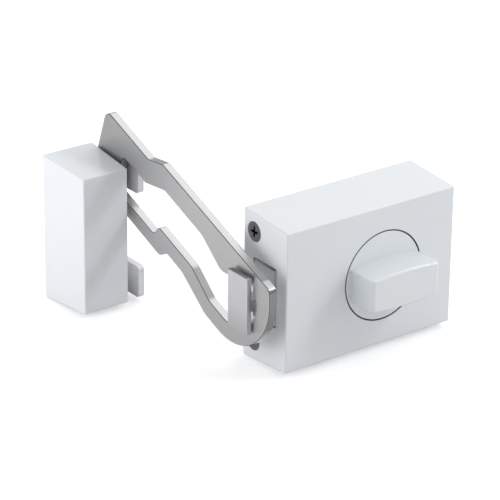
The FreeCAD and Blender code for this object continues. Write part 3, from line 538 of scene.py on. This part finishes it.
def cut_away(piece, cutter_work):
    """Takes a cutter's space out of a piece and keeps the result as its mesh."""
    cutter_mesh = bpy.data.meshes.new("cutter")
    cutter_work.to_mesh(cutter_mesh)
    cutter_work.free()
    cutter = bpy.data.objects.new("cutter", cutter_mesh)
    bpy.context.scene.collection.objects.link(cutter)
    tool = piece.modifiers.new("recess", "BOOLEAN")
    tool.operation = "DIFFERENCE"
    tool.solver = "EXACT"
    tool.use_self = True
    tool.object = cutter
    graph = bpy.context.evaluated_depsgraph_get()
    result = bpy.data.meshes.new_from_object(piece.evaluated_get(graph))
    piece.modifiers.clear()
    piece.data = result
    bpy.data.objects.remove(cutter)
    bpy.data.meshes.remove(cutter_mesh)


class RIMLOCK_OT_coats(bpy.types.Operator):
    """Gives the case, the strike box and the thumb-turn their white powder coat"""

    bl_idname = "rimlock.coats"
    bl_label = "White coats"

    def execute(self, context):
        finish = context.scene.rim_lock_finish
        face_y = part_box("lock_cover")[0][1]
        coat = powder_coat("white_coat", finish.coat_colour, finish.coat_roughness,
                           finish.peel_depth, face_y)
        dress(coat, "lock_cover", "strike_cover")
        smooth = powder_coat("white_turn", finish.coat_colour, finish.coat_roughness - 0.06,
                             finish.peel_depth * 0.6, face_y)
        dress(smooth, "thumb_turn")
        return {"FINISHED"}


class RIMLOCK_OT_steels(bpy.types.Operator):
    """Gives the bar, the bolt and the strike's bracket their plated steel"""

    bl_idname = "rimlock.steels"
    bl_label = "Plated steel"

    def execute(self, context):
        finish = context.scene.rim_lock_finish
        bar = satin_steel("bar_steel", finish.bar_colour, 0.34, finish.rim_colour,
                          along=(1, 0.04, 1), turn=(-BAR_TILT, 0, 0), metallic=0.92,
                          shade_areas=(BAR_HEEL_SHADE,), rim_shade_areas=(BAR_EDGE_CASE_SHADE,))
        dress(bar, "restrictor_bar")
        bolt = satin_steel("bolt_steel", finish.bolt_colour, 0.36, along=(1, 1, 0.05),
                           shade_areas=(HEAD_LOWER_SHADE, HEAD_FRONT_SHADE, BOLT_BLOCK_SHADE))
        dress(bolt, "hook_bolt")
        bracket = satin_steel("bracket_steel", finish.bracket_colour, 0.42, along=(1, 1, 0.06),
                              metallic=0.2, shade_areas=(BRACKET_INSIDE_SHADE,))
        dress(bracket, "strike_bracket")
        return {"FINISHED"}


class RIMLOCK_OT_inner_pieces(bpy.types.Operator):
    """Gives the works inside the case and at the pivot their own finishes"""

    bl_idname = "rimlock.inner_pieces"
    bl_label = "Works inside"

    def execute(self, context):
        plate = satin_steel("inner_steel", INNER_STEEL, 0.40, along=(0.05, 1, 1))
        dress(plate, "lock_base_plate", "front_bridge", "bridge_pillars", "bridge_screws",
              "rail_rivets", "guide_screws", "spring_rivet", "spindle", "pinion", "rack_plate",
              "bolt_rivets", "strike_cover_screws", "pivot_pin")
        spring = satin_steel("spring_steel", SPRING_STEEL, 0.30, along=(0.05, 1, 1))
        dress(spring, "friction_spring", "retaining_clip", "pivot_circlip")
        dress(turned_brass("brass"), "front_bush", "rear_bush", "bolt_rail", "pivot_bush")
        dress(moulded_nylon("nylon"), "rack_guides", "knob_washer", "pivot_spacer", "pivot_washer")
        return {"FINISHED"}


class RIMLOCK_OT_side_screws(bpy.types.Operator):
    """Builds the two countersunk side screws with a tapered cross"""

    bl_idname = "rimlock.side_screws"
    bl_label = "Side screws"

    def execute(self, context):
        sizes = context.scene.rim_lock_screws
        low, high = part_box("cover_screws")
        material = dark_steel("dark_screw", context.scene.rim_lock_finish.screw_colour, low[0])
        head_r = (high[1] - low[1]) / 2
        reach = high[0] - low[0]
        shank_r = head_r * SHANK_SHARE
        head_depth = head_r - shank_r
        middle_y = (low[1] + high[1]) / 2
        for label, z in (("upper", high[2] - head_r), ("lower", low[2] + head_r)):
            origin = Vector((low[0], middle_y, z))
            profile = [(0, 0), (DOME_TOP, head_r * 0.7), (HEAD_DOME, head_r - sizes.edge_break),
                       (HEAD_DOME + sizes.edge_break, head_r), (head_depth, shank_r),
                       (reach - TIP_BEVEL, shank_r), (reach, shank_r - TIP_BEVEL), (reach, 0)]
            work = turned(profile, origin, sizes.segments)
            piece = mesh_piece("side_screw_" + label, work, material, "lock")
            cut_away(piece, cross_cutter(origin, sizes.recess_length, sizes.recess_width,
                                         sizes.recess_depth))
            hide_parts("cover_screws")
        return {"FINISHED"}


class RIMLOCK_OT_stage(bpy.types.Operator):
    """Lays the pale floor and sets the lamps, the sky and the camera"""

    bl_idname = "rimlock.stage"
    bl_label = "Stage"

    def execute(self, context):
        stage = context.scene.rim_lock_stage
        low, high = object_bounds()
        middle = (Vector(low) + Vector(high)) / 2
        self.lay_floor(low[2])
        self.light_sky(context.scene, stage.sky_strength, stage.mirrored_sky)
        self.hang_lamp("key_lamp", middle, stage.key_power, *KEY_LAMP)
        self.hang_lamp("back_lamp", middle, stage.back_power, *BACK_LAMP)
        self.hang_lamp("fill_lamp", middle, stage.fill_power, *FILL_LAMP)
        self.hang_lamp("side_lamp", middle, stage.side_power, *SIDE_LAMP)
        self.set_camera(context.scene, stage.lens)
        context.scene.view_settings.view_transform = "Standard"
        return {"FINISHED"}

    @staticmethod
    def lay_floor(level):
        """A pale sheet just under the lock, white to the camera away from the shadow."""
        work = bmesh.new()
        bmesh.ops.create_grid(work, x_segments=1, y_segments=1, size=FLOOR_HALF)
        bmesh.ops.translate(work, vec=(0, 0, level - FLOOR_DROP), verts=work.verts)
        mesh = bpy.data.meshes.new("floor")
        work.to_mesh(mesh)
        work.free()
        floor = bpy.data.objects.new("floor", mesh)
        bpy.context.scene.collection.objects.link(floor)
        material, shader = new_material("floor_paper")
        grain = shader.noise(shader.place(), PAPER_GRAIN, 2.0)
        paper = shader.node("ShaderNodeBsdfDiffuse", {},
                            {"Color": shader.blend(grain, DARK_PAPER, LIGHT_PAPER)})
        ray = shader.node("ShaderNodeLightPath", output="Is Camera Ray")
        lift = shader.blend(shader.length(shader.place()).step(*GLOW_CHANGES), NEAR_GLOW, FAR_GLOW)
        glow = shader.node("ShaderNodeEmission", {}, {"Color": lift, "Strength": 1.0})
        lit = shader.node("ShaderNodeAddShader", {}, {0: paper, 1: glow})
        seen = shader.node("ShaderNodeMixShader", {}, {0: ray, 1: paper, 2: lit})
        shader.node("ShaderNodeOutputMaterial", {}, {"Surface": seen})
        mesh.materials.append(material)
        floor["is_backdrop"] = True

    @staticmethod
    def light_sky(scene, strength, dim):
        """An even sky, white to the camera. Steel mirrors it dimmer, with three soft patches."""
        world = bpy.data.worlds.new("studio")
        scene.world = world
        world.use_nodes = True
        shader = Shader(world.node_tree)
        camera = shader.node("ShaderNodeLightPath", output="Is Camera Ray")
        glossy = shader.node("ShaderNodeLightPath", output="Is Glossy Ray")
        bounces = shader.node("ShaderNodeLightPath", output="Diffuse Depth")
        direction = shader.node("ShaderNodeTexCoord", output="Generated")

        def within(middle, rim, full):
            """How far a direction lies within a soft round patch."""
            cosine = shader.node("ShaderNodeVectorMath", {"operation": "DOT_PRODUCT"},
                                 {0: direction, 1: middle}, "Value")
            return cosine.step(rim, full)

        mirrored = (dim + within(*BRIGHT_PATCH) * (1.0 - dim)
                    - within(*DARK_LEFT) * (dim - LEFT_LEVEL)
                    - within(*DARK_HORIZON) * (dim - HORIZON_LEVEL))
        direct = glossy * (1 - bounces.step(0.0, 1.0))
        amount = strength + camera * (1.0 - strength) + direct * (mirrored - strength)
        back = shader.node("ShaderNodeBackground", {}, {"Color": WHITE, "Strength": amount})
        shader.node("ShaderNodeOutputWorld", {}, {"Surface": back})

    @staticmethod
    def hang_lamp(name, target, power, offset, size, mirrored):
        """A round lamp that points at its target."""
        lamp = bpy.data.lights.new(name, "AREA")
        lamp.shape = "DISK"
        lamp.size = size
        lamp.energy = power
        holder = bpy.data.objects.new(name, lamp)
        holder.location = target + offset
        holder.rotation_euler = (-offset).to_track_quat("-Z", "Y").to_euler()
        holder.visible_glossy = mirrored
        bpy.context.scene.collection.objects.link(holder)

    @staticmethod
    def set_camera(scene, lens):
        """The camera at the photo's angle."""
        level = math.cos(CAMERA_ELEVATION)
        forward = Vector((math.sin(CAMERA_AZIMUTH) * level, math.cos(CAMERA_AZIMUTH) * level,
                          -math.sin(CAMERA_ELEVATION)))
        right = forward.cross(Vector((0, 0, 1))).normalized()
        up = right.cross(forward)
        rolled_right = right * math.cos(CAMERA_ROLL) + up * math.sin(CAMERA_ROLL)
        rolled_up = up * math.cos(CAMERA_ROLL) - right * math.sin(CAMERA_ROLL)
        axes = Matrix((rolled_right, rolled_up, -forward)).transposed().to_4x4()
        data = bpy.data.cameras.new("camera")
        data.sensor_width = CAMERA_SENSOR
        data.lens = lens
        data.clip_start, data.clip_end = CAMERA_SEES
        camera = bpy.data.objects.new("camera", data)
        camera.matrix_world = Matrix.Translation(CAMERA_PLACE) @ axes
        scene.collection.objects.link(camera)
        scene.camera = camera


# The order of the steps, the panel and the start

STEPS = (RIMLOCK_OT_coats, RIMLOCK_OT_steels, RIMLOCK_OT_inner_pieces, RIMLOCK_OT_side_screws,
         RIMLOCK_OT_stage)


class RIMLOCK_PT_panel(bpy.types.Panel):
    """The lock's steps and settings in the sidebar"""

    bl_idname = "RIMLOCK_PT_panel"
    bl_label = "Rim lock"
    bl_space_type = "VIEW_3D"
    bl_region_type = "UI"
    bl_category = "Rim lock"

    def draw(self, context):
        for settings in (context.scene.rim_lock_finish, context.scene.rim_lock_screws,
                         context.scene.rim_lock_stage):
            column = self.layout.column()
            for name in settings.__annotations__:
                column.prop(settings, name)
        for step in STEPS:
            self.layout.operator(step.bl_idname)


CLASSES = (FinishSettings, ScrewSettings, StageSettings) + STEPS + (RIMLOCK_PT_panel,)


def register():
    """Makes the settings, the steps and the panel known to Blender."""
    for kind in CLASSES:
        bpy.utils.register_class(kind)
    bpy.types.Scene.rim_lock_finish = PointerProperty(type=FinishSettings)
    bpy.types.Scene.rim_lock_screws = PointerProperty(type=ScrewSettings)
    bpy.types.Scene.rim_lock_stage = PointerProperty(type=StageSettings)


def unregister():
    """Takes them out again."""
    del bpy.types.Scene.rim_lock_stage
    del bpy.types.Scene.rim_lock_screws
    del bpy.types.Scene.rim_lock_finish
    for kind in reversed(CLASSES):
        bpy.utils.unregister_class(kind)


def main():
    """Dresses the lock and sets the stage."""
    register()
    bpy.ops.rimlock.coats()
    bpy.ops.rimlock.steels()
    bpy.ops.rimlock.inner_pieces()
    bpy.ops.rimlock.side_screws()
    bpy.ops.rimlock.stage()


if __name__ == "__main__":
    main()
